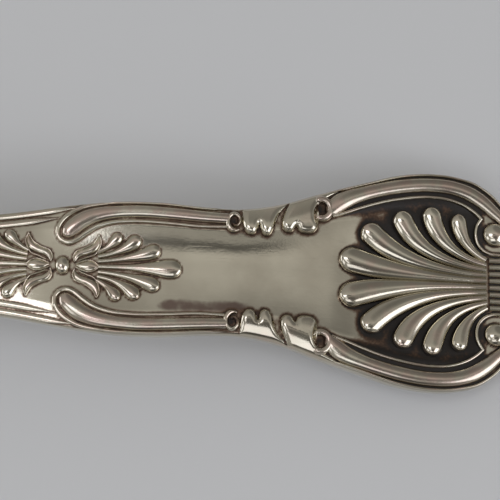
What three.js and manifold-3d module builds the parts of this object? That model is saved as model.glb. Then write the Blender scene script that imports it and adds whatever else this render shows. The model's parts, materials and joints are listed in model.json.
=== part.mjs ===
// A large basting spoon with a struck shell-and-scroll handle, lying bowl-up on its bowl and its handle tip.
// Millimetres, +Z up, +X towards the handle tip, origin under the middle of the spoon on the table.
//
// The handle is laid out flat, as it is struck, in three plan coordinates: s along the handle from the boss
// (+ towards the tip), t across it, and h above or below its middle plane. It is then set to its arch, which
// carries every piece of the handle along.

import * as THREE from 'three';
import { mergeVertices } from 'three/addons/utils/BufferGeometryUtils.js';
import Module from 'manifold-3d';

const wasm = await Module();
wasm.setup();

// Driving dimensions of the spoon
const LENGTH = 305;
const TIP_S = 72.2;
const BOSS_X = LENGTH / 2 - TIP_S;

// Arch of the handle: its top, and how tightly it bends towards the tip and towards the bowl
const ARCH_TOP_S = -44;
const ARCH_TOP_Z = 19.3;
const TIP_BEND_RADIUS = 380;
const BOWL_BEND_RADIUS = 760;

// Bowl
const BOWL_LENGTH = 100;
const BOWL_HALF_WIDTH = 31;
const BOWL_EGG = 0.1;
const BOWL_DEEPEST_OFFSET = 4;
const BOWL_RIM_Z = 17.6;
const BOWL_CURVE = 2.3;
const RIM_LAND = 1.3;
const WALL_AT_BOTTOM = 1.9;
const RESTING_FLAT = 0.15;
const BOWL_STEPS_ROUND = 44;
const BOWL_RINGS = [RESTING_FLAT, 0.3, 0.46, 0.62, 0.77, 0.9, 1];
const BOWL_MIDDLE_X = -LENGTH / 2 + BOWL_LENGTH / 2;
const DEEPEST_X = BOWL_MIDDLE_X + BOWL_DEEPEST_OFFSET;
const HEEL_X = BOWL_MIDDLE_X + BOWL_LENGTH / 2;

// Stem and plate
const HEEL_TO_STEM = 2;
const LUG_LENGTH = 10;
const STEM_START_S = HEEL_X + HEEL_TO_STEM - BOSS_X;
const STEM_END_S = -21;
const TERMINAL_HALF_THICKNESS = 1.2;
const STEM_HALF_THICKNESS = 2.1;
const THICKENING = 0.02;
const EDGE_CHAMFER = 0.35;
const REED_WIDTH = 1.1;
const REED_SHARE = 0.6;
const REED_HEIGHT = 0.25;
const REED_END_S = -2;
const STATION_STEP = 4;
const CLOSEST_STATIONS = 0.2;

// Struck ornament
const SEAT_GAP = 0.05;
const LOBE_HEIGHT = 1.1;
const PETAL_HEIGHT = 0.75;
const PETAL_LIFT = 0.1;
const BAND_HEIGHT = 0.8;
const SCROLL_HEIGHT = 0.9;
const LEAF_HEIGHT = 0.6;
const BOSS_HEIGHT = 1.0;
const BOSS_RADII = [1.3, 1.55];
const BALL_HEIGHT = 1.1;
const CREST_HEIGHT = 0.55;
const SEAM_S = 62.9;
const LOBE_ROOT_S = SEAM_S - 0.5;
const FACES = { front: 1, back: -1 };
const SIDES = { far: 1, near: -1 };

// Half-width of the handle in plan: [s, t] from the heel to the tip
const HALF_WIDTH_POINTS = [
  [-145, 7.2], [-135, 5.8], [-122, 4.8], [-100, 4.4], [-70, 4.9], [-40, 6.0], [-9, 7.7],
  [2.4, 9.4], [8.2, 10], [14, 10.05], [21.3, 9.57], [25, 9.55], [31.6, 10.6], [37.5, 12.6],
  [43.5, 14.45], [49.5, 16.2], [54.1, 16.75], [58, 16.5], [61.8, 15.3], [64.9, 12.6], [66.6, 10],
  [67.4, 7.6], [68, 6.4], [69.4, 6.2], [70.8, 5], [71.8, 3], [TIP_S, 1.2],
];

// A smooth value at x through [x, value] points, with the slope at each point taken from its two neighbours
function through(points, x) {
  const last = points.length - 1;
  const found = points.findIndex((point) => point[0] >= x);
  const i = found < 0 ? last : Math.max(found, 1);
  const slope = (k) => {
    const [x0, y0] = points[Math.max(k - 1, 0)];
    const [x1, y1] = points[Math.min(k + 1, last)];
    return (y1 - y0) / (x1 - x0);
  };
  const [x0, y0] = points[i - 1];
  const [x1, y1] = points[i];
  const run = x1 - x0;
  const u = THREE.MathUtils.clamp((x - x0) / run, 0, 1);
  const fromStart = y0 + slope(i - 1) * run * u;
  const fromEnd = y1 - slope(i) * run * (1 - u);
  return THREE.MathUtils.lerp(fromStart, fromEnd, u * u * (3 - 2 * u));
}

const halfWidth = (s) => through(HALF_WIDTH_POINTS, s);

function halfThickness(s) {
  const thickened = TERMINAL_HALF_THICKNESS - THICKENING * s;
  return THREE.MathUtils.clamp(thickened, TERMINAL_HALF_THICKNESS, STEM_HALF_THICKNESS);
}

// The arch: where a flat plan point goes when the handle is set to its curve
function bend(s, t, h) {
  const run = s - ARCH_TOP_S;
  const radius = run > 0 ? TIP_BEND_RADIUS : BOWL_BEND_RADIUS;
  const slope = Math.atan(-run / radius);
  const z = ARCH_TOP_Z - (run * run) / (2 * radius);
  return new THREE.Vector3(BOSS_X + s - h * Math.sin(slope), t, z + h * Math.cos(slope));
}

// The height of a face of the handle, front (+1) or back (-1), at a rise above its ground
const onFace = (face, s, rise) => face * (halfThickness(s) + SEAT_GAP + rise);

// A closed solid from rings of points, each ring joined to the next and both end rings filled by a fan
function loft(rings) {
  const count = rings[0].length;
  const positions = [];
  rings.flat().forEach((point) => positions.push(point.x, point.y, point.z));
  const index = [];
  for (let r = 0; r < rings.length - 1; r += 1) {
    for (let i = 0; i < count; i += 1) {
      const a = r * count + i;
      const b = r * count + ((i + 1) % count);
      index.push(a, b, b + count, a, b + count, a + count);
    }
  }
  const lastRing = (rings.length - 1) * count;
  for (let i = 1; i < count - 1; i += 1) {
    index.push(0, i + 1, i, lastRing, lastRing + i, lastRing + i + 1);
  }
  const geometry = new THREE.BufferGeometry();
  geometry.setAttribute('position', new THREE.Float32BufferAttribute(positions, 3));
  geometry.setIndex(index);
  return facingOut(geometry);
}

// Turns a closed geometry's triangles so that they all point out
function facingOut(geometry) {
  const position = geometry.getAttribute('position');
  const index = geometry.getIndex();
  const corner = [0, 1, 2].map(() => new THREE.Vector3());
  let volume = 0;
  for (let i = 0; i < index.count; i += 3) {
    corner.forEach((point, k) => point.fromBufferAttribute(position, index.getX(i + k)));
    volume += corner[0].dot(corner[1].cross(corner[2])) / 6;
  }
  if (volume < 0) {
    for (let i = 0; i < index.count; i += 3) {
      const kept = index.getX(i + 1);
      index.setX(i + 1, index.getX(i + 2));
      index.setX(i + 2, kept);
    }
  }
  return geometry;
}

// A copy of a geometry with places only, in which corners at the same place are one vertex
const SAME_PLACE = 1e-4;

function welded(geometry) {
  const bare = geometry.clone();
  bare.deleteAttribute('normal');
  bare.deleteAttribute('uv');
  return mergeVertices(bare, SAME_PLACE);
}

// Joining and cutting closed geometries
function toSolid(geometry) {
  const merged = welded(geometry);
  return new wasm.Manifold(new wasm.Mesh({
    numProp: 3,
    vertProperties: Float32Array.from(merged.getAttribute('position').array),
    triVerts: Uint32Array.from(merged.getIndex().array),
  }));
}

function toGeometry(solid) {
  const mesh = solid.getMesh();
  const geometry = new THREE.BufferGeometry();
  geometry.setAttribute('position', new THREE.Float32BufferAttribute(mesh.vertProperties, 3));
  geometry.setIndex([...mesh.triVerts]);
  return geometry;
}

const joined = (geometries) =>
  toGeometry(geometries.map(toSolid).reduce((whole, next) => whole.add(next)));

// A ridge struck on a face: a rounded moulding along a plan line, given as stations [s, t, half-width]. It is
// lower where it is narrower.
const RIDGE_SECTION = [[-1, 0], [-0.72, 0.66], [0, 1], [0.72, 0.66], [1, 0]];
const LOWEST_RIDGE = 0.35;

function ridge(face, stations, height, lift = 0) {
  const fullest = Math.max(...stations.map((station) => station[2]));
  const rings = stations.map(([s, t, width], i) => {
    const [s0, t0] = stations[Math.max(i - 1, 0)];
    const [s1, t1] = stations[Math.min(i + 1, stations.length - 1)];
    const along = new THREE.Vector2(s1 - s0, t1 - t0).normalize();
    const rise = height * THREE.MathUtils.lerp(LOWEST_RIDGE, 1, width / fullest);
    return RIDGE_SECTION.map(([across, up]) => {
      const ringS = s - along.y * across * width;
      const ringT = t + along.x * across * width;
      return bend(ringS, ringT, onFace(face, ringS, lift + up * rise));
    });
  });
  return loft(rings);
}

// Stations of a teardrop: a round head that narrows along a curved tail to its root
const HEAD_STEPS = 3;
const TAIL_STEPS = 7;
const HEAD_START = 0.25;
const TAIL_FALL = 1.9;
const TAIL_CROWDING = 1.3;

function teardrop({ head, bendPoint, root, radius, rootWidth }) {
  const tail = new THREE.QuadraticBezierCurve(
    new THREE.Vector2(...head), new THREE.Vector2(...bendPoint), new THREE.Vector2(...root));
  const outward = tail.getTangent(0).negate();
  const stations = [];
  for (let i = 0; i < HEAD_STEPS; i += 1) {
    const turn = THREE.MathUtils.lerp(HEAD_START, Math.PI / 2, i / HEAD_STEPS);
    const ahead = radius * Math.cos(turn);
    stations.push([head[0] + outward.x * ahead, head[1] + outward.y * ahead, radius * Math.sin(turn)]);
  }
  const length = tail.getLength();
  for (let i = 0; i <= TAIL_STEPS; i += 1) {
    const u = (i / TAIL_STEPS) ** TAIL_CROWDING;
    const point = tail.getPointAt(u);
    const fall = Math.exp(-(((u * length) / (TAIL_FALL * radius)) ** 2));
    stations.push([point.x, point.y, rootWidth + (radius - rootWidth) * fall]);
  }
  return stations;
}

// A low dome struck on a face, round or oval in plan
const DOME_STEPS_ROUND = 12;
const DOME_STEPS_UP = 3;

function dome(face, s, t, radiusS, radiusT, height) {
  const profile = [new THREE.Vector2(0, 0)];
  for (let i = 0; i < DOME_STEPS_UP; i += 1) {
    const angle = (i / DOME_STEPS_UP) * (Math.PI / 2);
    profile.push(new THREE.Vector2(Math.cos(angle), Math.sin(angle)));
  }
  profile.push(new THREE.Vector2(0, 1));
  const geometry = new THREE.LatheGeometry(profile, DOME_STEPS_ROUND);
  return facingOut(placed(geometry, (x, y, z) => {
    const domeS = s + radiusS * x;
    return bend(domeS, t + radiusT * z, onFace(face, domeS, height * y));
  }));
}

// A geometry with every vertex moved by a function of its place, and its double vertices merged
function placed(geometry, move) {
  const merged = welded(geometry);
  const position = merged.getAttribute('position');
  for (let i = 0; i < position.count; i += 1) {
    const point = move(position.getX(i), position.getY(i), position.getZ(i));
    position.setXYZ(i, point.x, point.y, point.z);
  }
  const cells = [];
  const index = merged.getIndex();
  for (let i = 0; i < index.count; i += 3) {
    const triangle = [index.getX(i), index.getX(i + 1), index.getX(i + 2)];
    if (new Set(triangle).size === 3) cells.push(...triangle);
  }
  merged.setIndex(cells);
  return merged;
}

// Bowl: egg-shaped in plan, a worn flat under it to rest on
const bowlRim = (turn, inset) => new THREE.Vector2(
  BOWL_MIDDLE_X + (BOWL_LENGTH / 2 - inset) * Math.cos(turn),
  (BOWL_HALF_WIDTH - inset) * Math.sin(turn) * (1 + BOWL_EGG * Math.cos(turn)));

const dishHeight = (reach) => BOWL_RIM_Z * Math.max(0, (reach ** BOWL_CURVE - RESTING_FLAT ** BOWL_CURVE)
  / (1 - RESTING_FLAT ** BOWL_CURVE));

function dishRing(reach, inset, z) {
  return Array.from({ length: BOWL_STEPS_ROUND }, (_, i) => {
    const rim = bowlRim((i / BOWL_STEPS_ROUND) * 2 * Math.PI, inset);
    return new THREE.Vector3(DEEPEST_X + (rim.x - DEEPEST_X) * reach, rim.y * reach, z);
  });
}

const wallThickness = (reach) => THREE.MathUtils.lerp(WALL_AT_BOTTOM, 0, reach ** 4);

function makeBowl() {
  const outside = loft(BOWL_RINGS.map((reach) => dishRing(reach, 0, dishHeight(reach))));
  const inside = BOWL_RINGS.map((reach) =>
    dishRing(reach, RIM_LAND, dishHeight(reach) + wallThickness(reach)));
  const aboveRim = dishRing(1, RIM_LAND, BOWL_RIM_Z + STEM_HALF_THICKNESS * 2);
  const lug = loft([STEM_START_S - LUG_LENGTH, STEM_START_S - LUG_LENGTH / 2, STEM_START_S].map(barRing));
  return toGeometry(toSolid(outside).add(toSolid(lug)).subtract(toSolid(loft([...inside, aboveRim]))));
}

// The bowl's underside at a plan point, found from the rim point that lies in the same direction
const AIM_STEPS = 12;
const AIM_SHARE = 0.8;

function undersideHeight(x, y) {
  const direction = Math.atan2(y, x - DEEPEST_X);
  let turn = direction;
  let rim = bowlRim(turn, 0);
  for (let i = 0; i < AIM_STEPS; i += 1) {
    turn += AIM_SHARE * (direction - Math.atan2(rim.y, rim.x - DEEPEST_X));
    rim = bowlRim(turn, 0);
  }
  return dishHeight(Math.hypot(x - DEEPEST_X, y) / Math.hypot(rim.x - DEEPEST_X, rim.y));
}

// Heel drop: a rounded tongue under the bowl, thickest along its middle
const DROP_STATIONS = [[-61.2, 5.3], [-64.6, 5.4], [-69, 5.0], [-74, 3.9], [-77.5, 2.2]];
const DROP_THICKNESS = 1.1;
const DROP_ROUNDING = 0.6;
const DROP_GAP = 0.1;
const DROP_ACROSS = [-1, -0.5, 0, 0.5, 1];

function makeHeelDrop() {
  return loft(DROP_STATIONS.map(([x, width]) => {
    const seat = DROP_ACROSS.map((across) =>
      new THREE.Vector3(x, across * width, undersideHeight(x, across * width) - DROP_GAP));
    const skin = DROP_ACROSS.slice(1, -1).reverse().map((across) => {
      const depth = DROP_GAP + DROP_THICKNESS * (1 - across * across * DROP_ROUNDING);
      return new THREE.Vector3(x, across * width, undersideHeight(x, across * width) - depth);
    });
    return [...seat, ...skin];
  }));
}

// Section of the stem and the plate: a flat bar, with a raised reed along each edge of both faces up to the
// boss
function barRing(s) {
  const width = halfWidth(s);
  const depth = halfThickness(s);
  const reed = s < REED_END_S ? REED_HEIGHT : 0;
  const reedWidth = Math.min(REED_WIDTH, width * REED_SHARE);
  const corner = [
    [width, depth - EDGE_CHAMFER], [width - reedWidth / 2, depth + reed], [width - reedWidth, depth],
  ];
  const top = [...corner, ...corner.map(([t, h]) => [-t, h]).reverse()];
  const round = [...top, ...top.map(([t, h]) => [t, -h]).reverse()];
  return round.map(([t, h]) => bend(s, t, h));
}

function stationsAlong(start, end) {
  const steps = Math.ceil((end - start) / STATION_STEP);
  const even = Array.from({ length: steps + 1 }, (_, i) => start + ((end - start) * i) / steps);
  const turns = HALF_WIDTH_POINTS.map(([s]) => s).filter((s) => s > start && s < end);
  const all = [...even, ...turns].sort((a, b) => a - b);
  return all.filter((s, i) => i === 0 || s - all[i - 1] > CLOSEST_STATIONS);
}

// Shell lobes of the handle end, from the axis outwards: where each head sits and how its tail bends to the
// seam
const SHELL_LOBES = [
  { head: [42.4, 2.78], bendPoint: [49, 0.6], root: [LOBE_ROOT_S, 0.45], radius: 2.1 },
  { head: [45.0, 6.75], bendPoint: [50.5, 1.7], root: [LOBE_ROOT_S, 1.27], radius: 1.8 },
  { head: [49.8, 8.95], bendPoint: [52.5, 3.2], root: [LOBE_ROOT_S, 2.1], radius: 1.6 },
  { head: [54.15, 9.9], bendPoint: [55.5, 4.6], root: [LOBE_ROOT_S, 2.95], radius: 1.5 },
  { head: [58.2, 9.3], bendPoint: [58.8, 5.6], root: [LOBE_ROOT_S, 3.8], radius: 1.3 },
];
const LOBE_ROOT_WIDTH = 0.34;

// Petals of a palmette on one side of the axis, and the one on the axis
const PETALS = [
  { head: [13.1, 2.5], bendPoint: [9.5, 1.1], root: [4.6, 0.75], radius: 1.2 },
  { head: [10.35, 3.85], bendPoint: [8.3, 2.0], root: [4.6, 1.35], radius: 1.1 },
  { head: [7.75, 4.25], bendPoint: [6.6, 2.7], root: [4.7, 1.7], radius: 0.95 },
];
const MIDDLE_PETAL = { head: [15.85, 0], bendPoint: [11, 0], root: [4.6, 0], radius: 1.5 };
const PETAL_ROOT_WIDTH = 0.4;
const HEART_LEAF = [[1.75, 0, 0.5], [2.6, 0, 1.1], [3.8, 0, 1.55], [4.8, 0, 1.85], [5.5, 0, 1.5]];

// Calyx leaf beside the boss: [s, t, half-width] from its curled foot to its tip
const CALYX_LEAF = [
  [1.7, 1.35, 0.25], [2.1, 2.15, 0.55], [2.9, 2.9, 0.6], [3.9, 3.5, 0.5], [4.6, 4.2, 0.3], [5.0, 4.9, 0.1],
];

// Long band from its bulb end beside the boss to the leaf spray
const LONG_BAND = [
  [-0.8, 4.9, 0.5], [-0.3, 5.05, 1.0], [0.5, 5.3, 1.3], [2.2, 6.3, 1.35], [4.2, 7.25, 1.35], [7, 8.05, 1.35],
  [10, 8.4, 1.35], [14, 8.4, 1.35], [18, 8.2, 1.3], [22.6, 7.95, 1.25],
];

// Big scroll from its eye, round the shoulder and in beside the volute ball
const BIG_SCROLL = [
  [38.9, 10.75, 1.1], [40.3, 11.4, 1.7], [43.4, 12.55, 1.75], [46.4, 13.5, 1.8], [49.8, 14.35, 1.8],
  [53.9, 14.85, 1.8], [57.2, 14.6, 1.8], [59.9, 13.75, 1.75], [62.0, 12.5, 1.7], [63.8, 11.15, 1.3],
  [65.3, 9.8, 0.95], [66.2, 8.3, 0.7],
];
const VOLUTE_BALL = [63.7, 7.7];
const VOLUTE_BALL_RADIUS = 1.75;

// Leaf spray: a small curl, then two lobed leaves with a groove between them, fused along the handle's edge
const CURL = [24.8, 7.85];
const CURL_RADIUS = 1.45;
const CURL_HEIGHT = 0.78;
const SPRAY_OUTLINE = [
  [25.6, 7.0], [26.6, 5.6], [27.6, 5.5], [28.3, 7.0], [28.6, 7.0], [28.9, 5.5], [30, 5.5], [30.5, 6.6],
  [31.4, 9.2], [31.8, 9.2], [31.7, 7.0], [32.2, 6.1], [33.4, 6.2], [33.8, 7.1], [34.1, 7.1], [34.6, 6.2],
  [36.4, 6.3], [37.2, 7.0], [37.4, 9.0], [37.9, 11.6], [34.6, 10.9], [31.6, 10], [28.6, 9.4], [25.6, 9.1],
];

// Crest past the seam: ribs that spread towards the tip, every second one a little higher, the outer ones
// shorter
const CREST_RIBS = 7;
const CREST_PITCH = 1.15;
const CREST_START_S = SEAM_S + 0.3;
const CREST_END_S = 71.5;
const CREST_SPREAD = 1.35;
const CREST_RIB_WIDTH = 0.68;
const CREST_SHORTENING = 0.24;
const CREST_STEP_UP = 0.03;
const CREST_SHARES = [0, 0.25, 0.5, 0.75, 1];

function makeCrest(face) {
  const middle = (CREST_RIBS - 1) / 2;
  const ribs = Array.from({ length: CREST_RIBS }, (_, i) => {
    const out = (i - middle) * CREST_PITCH;
    const end = CREST_END_S - CREST_SHORTENING * (i - middle) ** 2;
    const stations = CREST_SHARES.map((u) => {
      const spread = THREE.MathUtils.lerp(1, CREST_SPREAD, u);
      return [THREE.MathUtils.lerp(CREST_START_S, end, u), out * spread, CREST_RIB_WIDTH * spread];
    });
    return ridge(face, stations, CREST_HEIGHT + CREST_STEP_UP * (i % 2));
  });
  return joined(ribs);
}

const mirrored = (stations, side) => stations.map(([s, t, ...rest]) => [s, t * side, ...rest]);
const reversedAlong = (stations, way) => stations.map(([s, t, ...rest]) => [s * way, t, ...rest]);

function makePalmette(face, way) {
  const petals = [MIDDLE_PETAL, ...PETALS].flatMap((petal) => {
    const stations = teardrop({ ...petal, rootWidth: PETAL_ROOT_WIDTH });
    const sides = petal === MIDDLE_PETAL ? [1] : Object.values(SIDES);
    return sides.map((side) =>
      ridge(face, reversedAlong(mirrored(stations, side), way), PETAL_HEIGHT, PETAL_LIFT));
  });
  return joined([ridge(face, reversedAlong(HEART_LEAF, way), LEAF_HEIGHT), ...petals]);
}

function makeLeafSpray(face, side) {
  const outline = new THREE.Shape(SPRAY_OUTLINE.map(([s, t]) => new THREE.Vector2(s, t * side)));
  const slab = new THREE.ExtrudeGeometry(outline, { depth: LEAF_HEIGHT, bevelEnabled: false });
  const leaves = facingOut(placed(slab, (s, t, rise) => bend(s, t, onFace(face, s, rise + PETAL_LIFT))));
  return joined([leaves, dome(face, CURL[0], CURL[1] * side, CURL_RADIUS, CURL_RADIUS, CURL_HEIGHT)]);
}

// The spoon
const SILVER = { color: 0xb9b4a8, roughness: 0.28, metalness: 1 };
const spoon = new THREE.Group();

function addPiece(name, geometry) {
  const mesh = new THREE.Mesh(geometry, new THREE.MeshStandardMaterial(SILVER));
  mesh.name = name;
  spoon.add(mesh);
}

addPiece('bowl', makeBowl());
addPiece('heel_drop', makeHeelDrop());
addPiece('stem', loft(stationsAlong(STEM_START_S, STEM_END_S).map(barRing)));
addPiece('handle_plate', loft(stationsAlong(STEM_END_S, TIP_S).map(barRing)));

for (const [faceName, face] of Object.entries(FACES)) {
  addPiece(`${faceName}_boss`, dome(face, 0, 0, ...BOSS_RADII, BOSS_HEIGHT));
  addPiece(`${faceName}_crest`, makeCrest(face));
  for (const [wayName, way] of [['tip', 1], ['stem', -1]]) {
    addPiece(`${faceName}_palmette_${wayName}`, makePalmette(face, way));
    for (const [sideName, side] of Object.entries(SIDES)) {
      const leaf = reversedAlong(mirrored(CALYX_LEAF, side), way);
      addPiece(`${faceName}_calyx_leaf_${wayName}_${sideName}`, ridge(face, leaf, LEAF_HEIGHT));
    }
  }
  for (const [sideName, side] of Object.entries(SIDES)) {
    addPiece(`${faceName}_long_band_${sideName}`, ridge(face, mirrored(LONG_BAND, side), BAND_HEIGHT));
    addPiece(`${faceName}_leaf_spray_${sideName}`, makeLeafSpray(face, side));
    addPiece(`${faceName}_big_scroll_${sideName}`, ridge(face, mirrored(BIG_SCROLL, side), SCROLL_HEIGHT));
    const [ballS, ballT] = VOLUTE_BALL;
    addPiece(`${faceName}_volute_ball_${sideName}`,
      dome(face, ballS, ballT * side, VOLUTE_BALL_RADIUS, VOLUTE_BALL_RADIUS, BALL_HEIGHT));
    SHELL_LOBES.forEach((lobe, i) => {
      const stations = mirrored(teardrop({ ...lobe, rootWidth: LOBE_ROOT_WIDTH }), side);
      addPiece(`${faceName}_shell_lobe_${sideName}_${i + 1}`, ridge(face, stations, LOBE_HEIGHT));
    });
  }
}

// The origin: the middle of the spoon's length, on the surface it lies on
const box = new THREE.Box3().setFromObject(spoon);
spoon.position.set(-(box.min.x + box.max.x) / 2, 0, -box.min.z);

export default spoon;
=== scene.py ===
# %% [markdown]
# # A struck silver basting spoon
# The real spoon is one blank of nickel silver. Dies strike both faces of the handle while it is still flat,
# a press raises the bowl, and a last tool sets the handle to its arch before the plating. This lesson
# follows the same order: every ornament is modelled flat, in plan millimetres, and then carried onto the
# arch by one function. That keeps the drawing simple, and a change to the arch moves everything together.

# %% The frame and the tools
import json
import math

import bmesh
import bpy
from mathutils import Matrix, Vector
from mathutils.bvhtree import BVHTree
from mathutils.kdtree import KDTree

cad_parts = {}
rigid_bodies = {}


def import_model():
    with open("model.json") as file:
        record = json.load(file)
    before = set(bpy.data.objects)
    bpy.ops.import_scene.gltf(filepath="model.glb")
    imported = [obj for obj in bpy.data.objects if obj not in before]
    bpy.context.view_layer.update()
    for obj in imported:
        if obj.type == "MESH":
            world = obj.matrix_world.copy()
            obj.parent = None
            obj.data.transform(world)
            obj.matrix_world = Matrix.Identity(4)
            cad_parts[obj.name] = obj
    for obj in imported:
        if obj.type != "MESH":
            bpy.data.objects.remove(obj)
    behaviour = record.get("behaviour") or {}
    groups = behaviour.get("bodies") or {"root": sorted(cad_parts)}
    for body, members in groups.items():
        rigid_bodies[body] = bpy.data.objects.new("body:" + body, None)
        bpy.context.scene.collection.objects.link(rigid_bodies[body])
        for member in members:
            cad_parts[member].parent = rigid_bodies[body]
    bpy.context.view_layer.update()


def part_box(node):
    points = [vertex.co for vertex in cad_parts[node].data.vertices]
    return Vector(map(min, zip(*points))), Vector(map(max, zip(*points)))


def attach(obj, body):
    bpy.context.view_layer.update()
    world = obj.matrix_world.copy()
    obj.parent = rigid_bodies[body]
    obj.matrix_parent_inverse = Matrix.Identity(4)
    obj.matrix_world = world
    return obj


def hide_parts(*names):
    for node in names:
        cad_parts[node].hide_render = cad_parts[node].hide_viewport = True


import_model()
MM = 0.001

# %% [markdown]
# ## Where things are
# Plan coordinates are s along the handle from the boss, t across it and a rise above the struck ground. The
# boss on the front and the boss on the back sit on the same spot, so halfway between them lies the handle's
# middle plane, and the arch can be read from the frame instead of being typed in.

# %% Plan sizes and the arch
ARCH_TOP_S = -44.0
TIP_BEND_RADIUS = 380.0
BOWL_BEND_RADIUS = 760.0
TERMINAL_HALF_THICKNESS = 1.2
STEM_HALF_THICKNESS = 2.1
THICKENING = 0.02
HEEL_S = -133.0
HEEL_RUN = 22.0
HEEL_LIFT = 1.1


def box_middle(node):
    low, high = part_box(node)
    return (low + high) / 2 / MM


BOSS_PLACE = (box_middle("front_boss") + box_middle("back_boss")) / 2
ARCH_TOP_Z = BOSS_PLACE.z + ARCH_TOP_S ** 2 / (2 * TIP_BEND_RADIUS)


def smoothstep(low, high, x):
    """Eases from 0 at low to 1 at high."""
    u = min(max((x - low) / (high - low), 0.0), 1.0)
    return u * u * (3 - 2 * u)


def half_thickness(s):
    return min(max(TERMINAL_HALF_THICKNESS - THICKENING * s, TERMINAL_HALF_THICKNESS), STEM_HALF_THICKNESS)


def arch(s, t, h):
    """The place in metres of a flat plan point h above the handle's middle plane."""
    run = s - ARCH_TOP_S
    radius = TIP_BEND_RADIUS if run > 0 else BOWL_BEND_RADIUS
    slope = math.atan(-run / radius)
    z = ARCH_TOP_Z - run * run / (2 * radius) + HEEL_LIFT * smoothstep(HEEL_S + HEEL_RUN, HEEL_S, s)
    return Vector((BOSS_PLACE.x + s - h * math.sin(slope), t, z + h * math.cos(slope))) * MM


print("boss at x", round(BOSS_PLACE.x, 2), "mm, arch top at z", round(ARCH_TOP_Z, 2), "mm")

# %% [markdown]
# ## The camera first
# The photograph looks almost straight down on the decorated end of the handle with a long lens, leaning a
# little towards the tip and turned in its own frame. Setting the camera before any modelling means that
# every test render can be laid over the photograph.

# %% Camera
CAMERA_AZIMUTH = 20.6
CAMERA_ELEVATION = 76.0
CAMERA_ROLL = math.radians(-19.9)
CAMERA_DISTANCE = 223.1
CAMERA_AIM_S = 27.2
CAMERA_AIM_T = 3.3
CAMERA_LENS = 108.0
CAMERA_SENSOR = 36.0
CAMERA_CLIP_START = 5.0


def towards(azimuth, elevation):
    """The direction at an azimuth and an elevation in degrees; azimuth 0 is the near side."""
    azimuth, elevation = math.radians(azimuth), math.radians(elevation)
    level = math.cos(elevation)
    return Vector((math.sin(azimuth) * level, -math.cos(azimuth) * level, math.sin(elevation)))


def show(name, data):
    """Puts a new object with this data into the scene."""
    shown = bpy.data.objects.new(name, data)
    bpy.context.scene.collection.objects.link(shown)
    return shown


def place_camera():
    back = towards(CAMERA_AZIMUTH, CAMERA_ELEVATION)
    right = (-back).cross(Vector((0, 0, 1))).normalized()
    up = right.cross(-back)
    turned_right = right * math.cos(CAMERA_ROLL) + up * math.sin(CAMERA_ROLL)
    turned_up = up * math.cos(CAMERA_ROLL) - right * math.sin(CAMERA_ROLL)
    aim = arch(CAMERA_AIM_S, CAMERA_AIM_T, TERMINAL_HALF_THICKNESS)
    data = bpy.data.cameras.new("photo_camera")
    data.lens = CAMERA_LENS
    data.sensor_width = CAMERA_SENSOR
    data.clip_start = CAMERA_CLIP_START * MM
    data.dof.use_dof = False
    camera = show("photo_camera", data)
    turn = Matrix((turned_right, turned_up, back)).transposed().to_4x4()
    camera.matrix_world = Matrix.Translation(aim + back * CAMERA_DISTANCE * MM) @ turn
    bpy.context.scene.camera = camera
    return camera


camera = place_camera()
print("camera at", [round(v, 4) for v in camera.location])

# %% [markdown]
# ## Worn silver plate
# Old plate is never one colour. The open panels are soft grey-beige from years of polishing, the crowns of
# the relief are a little pink where the plate has thinned, and brown to black tarnish stays in the corners
# that polishing never reaches; in the deep shell and the eyes that darkening is also painted shade. Four
# numbers stored on each vertex steer this: the first says how deep in a corner a point lies, for tarnish
# and painted shade, "crown" says how close it is to the top of its moulding, "stain" marks a brown smear
# on the panel, and "film" a thin brown bloom on the big rolls. An image could hold the same, but numbers on
# the mesh need no unwrapping and follow the relief exactly.

# %% Node helpers
def node_of(tree, kind, inputs=None, **settings):
    node = tree.nodes.new(kind)
    for key, value in settings.items():
        setattr(node, key, value)
    for key, value in (inputs or {}).items():
        node.inputs[key].default_value = value
    return node


def plug(tree, socket, value):
    """Links a socket to another node's output, or sets it to a number or colour."""
    if isinstance(value, bpy.types.NodeSocket):
        tree.links.new(value, socket)
    else:
        socket.default_value = value


def blend_colours(tree, factor, low, high):
    """A colour mix: socket 0 is its factor, sockets 6 and 7 are its colours."""
    mix = node_of(tree, "ShaderNodeMix", data_type="RGBA")
    for index, value in zip((0, 6, 7), (factor, low, high)):
        plug(tree, mix.inputs[index], value)
    return mix.outputs[2]


def calculate(tree, operation, *values):
    """A math node; each value is a number or another node's output."""
    node = node_of(tree, "ShaderNodeMath", operation=operation)
    for socket, value in zip(node.inputs, values):
        plug(tree, socket, value)
    return node.outputs[0]


def weighted_sum(tree, start, *terms):
    """A start number plus each value times its weight, as a chain of math nodes."""
    total = start
    for value, weight in terms:
        total = calculate(tree, "MULTIPLY_ADD", value, weight, total)
    return total


def ranged(tree, value, low, high, to_low=0.0, to_high=1.0):
    """Maps the stretch from low to high smoothly onto another one."""
    limits = {1: low, 2: high, 3: to_low, 4: to_high}
    node = node_of(tree, "ShaderNodeMapRange", limits, interpolation_type="SMOOTHSTEP")
    tree.links.new(value, node.inputs[0])
    return node.outputs[0]


print("node helpers ready in Blender", bpy.app.version_string)
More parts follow.
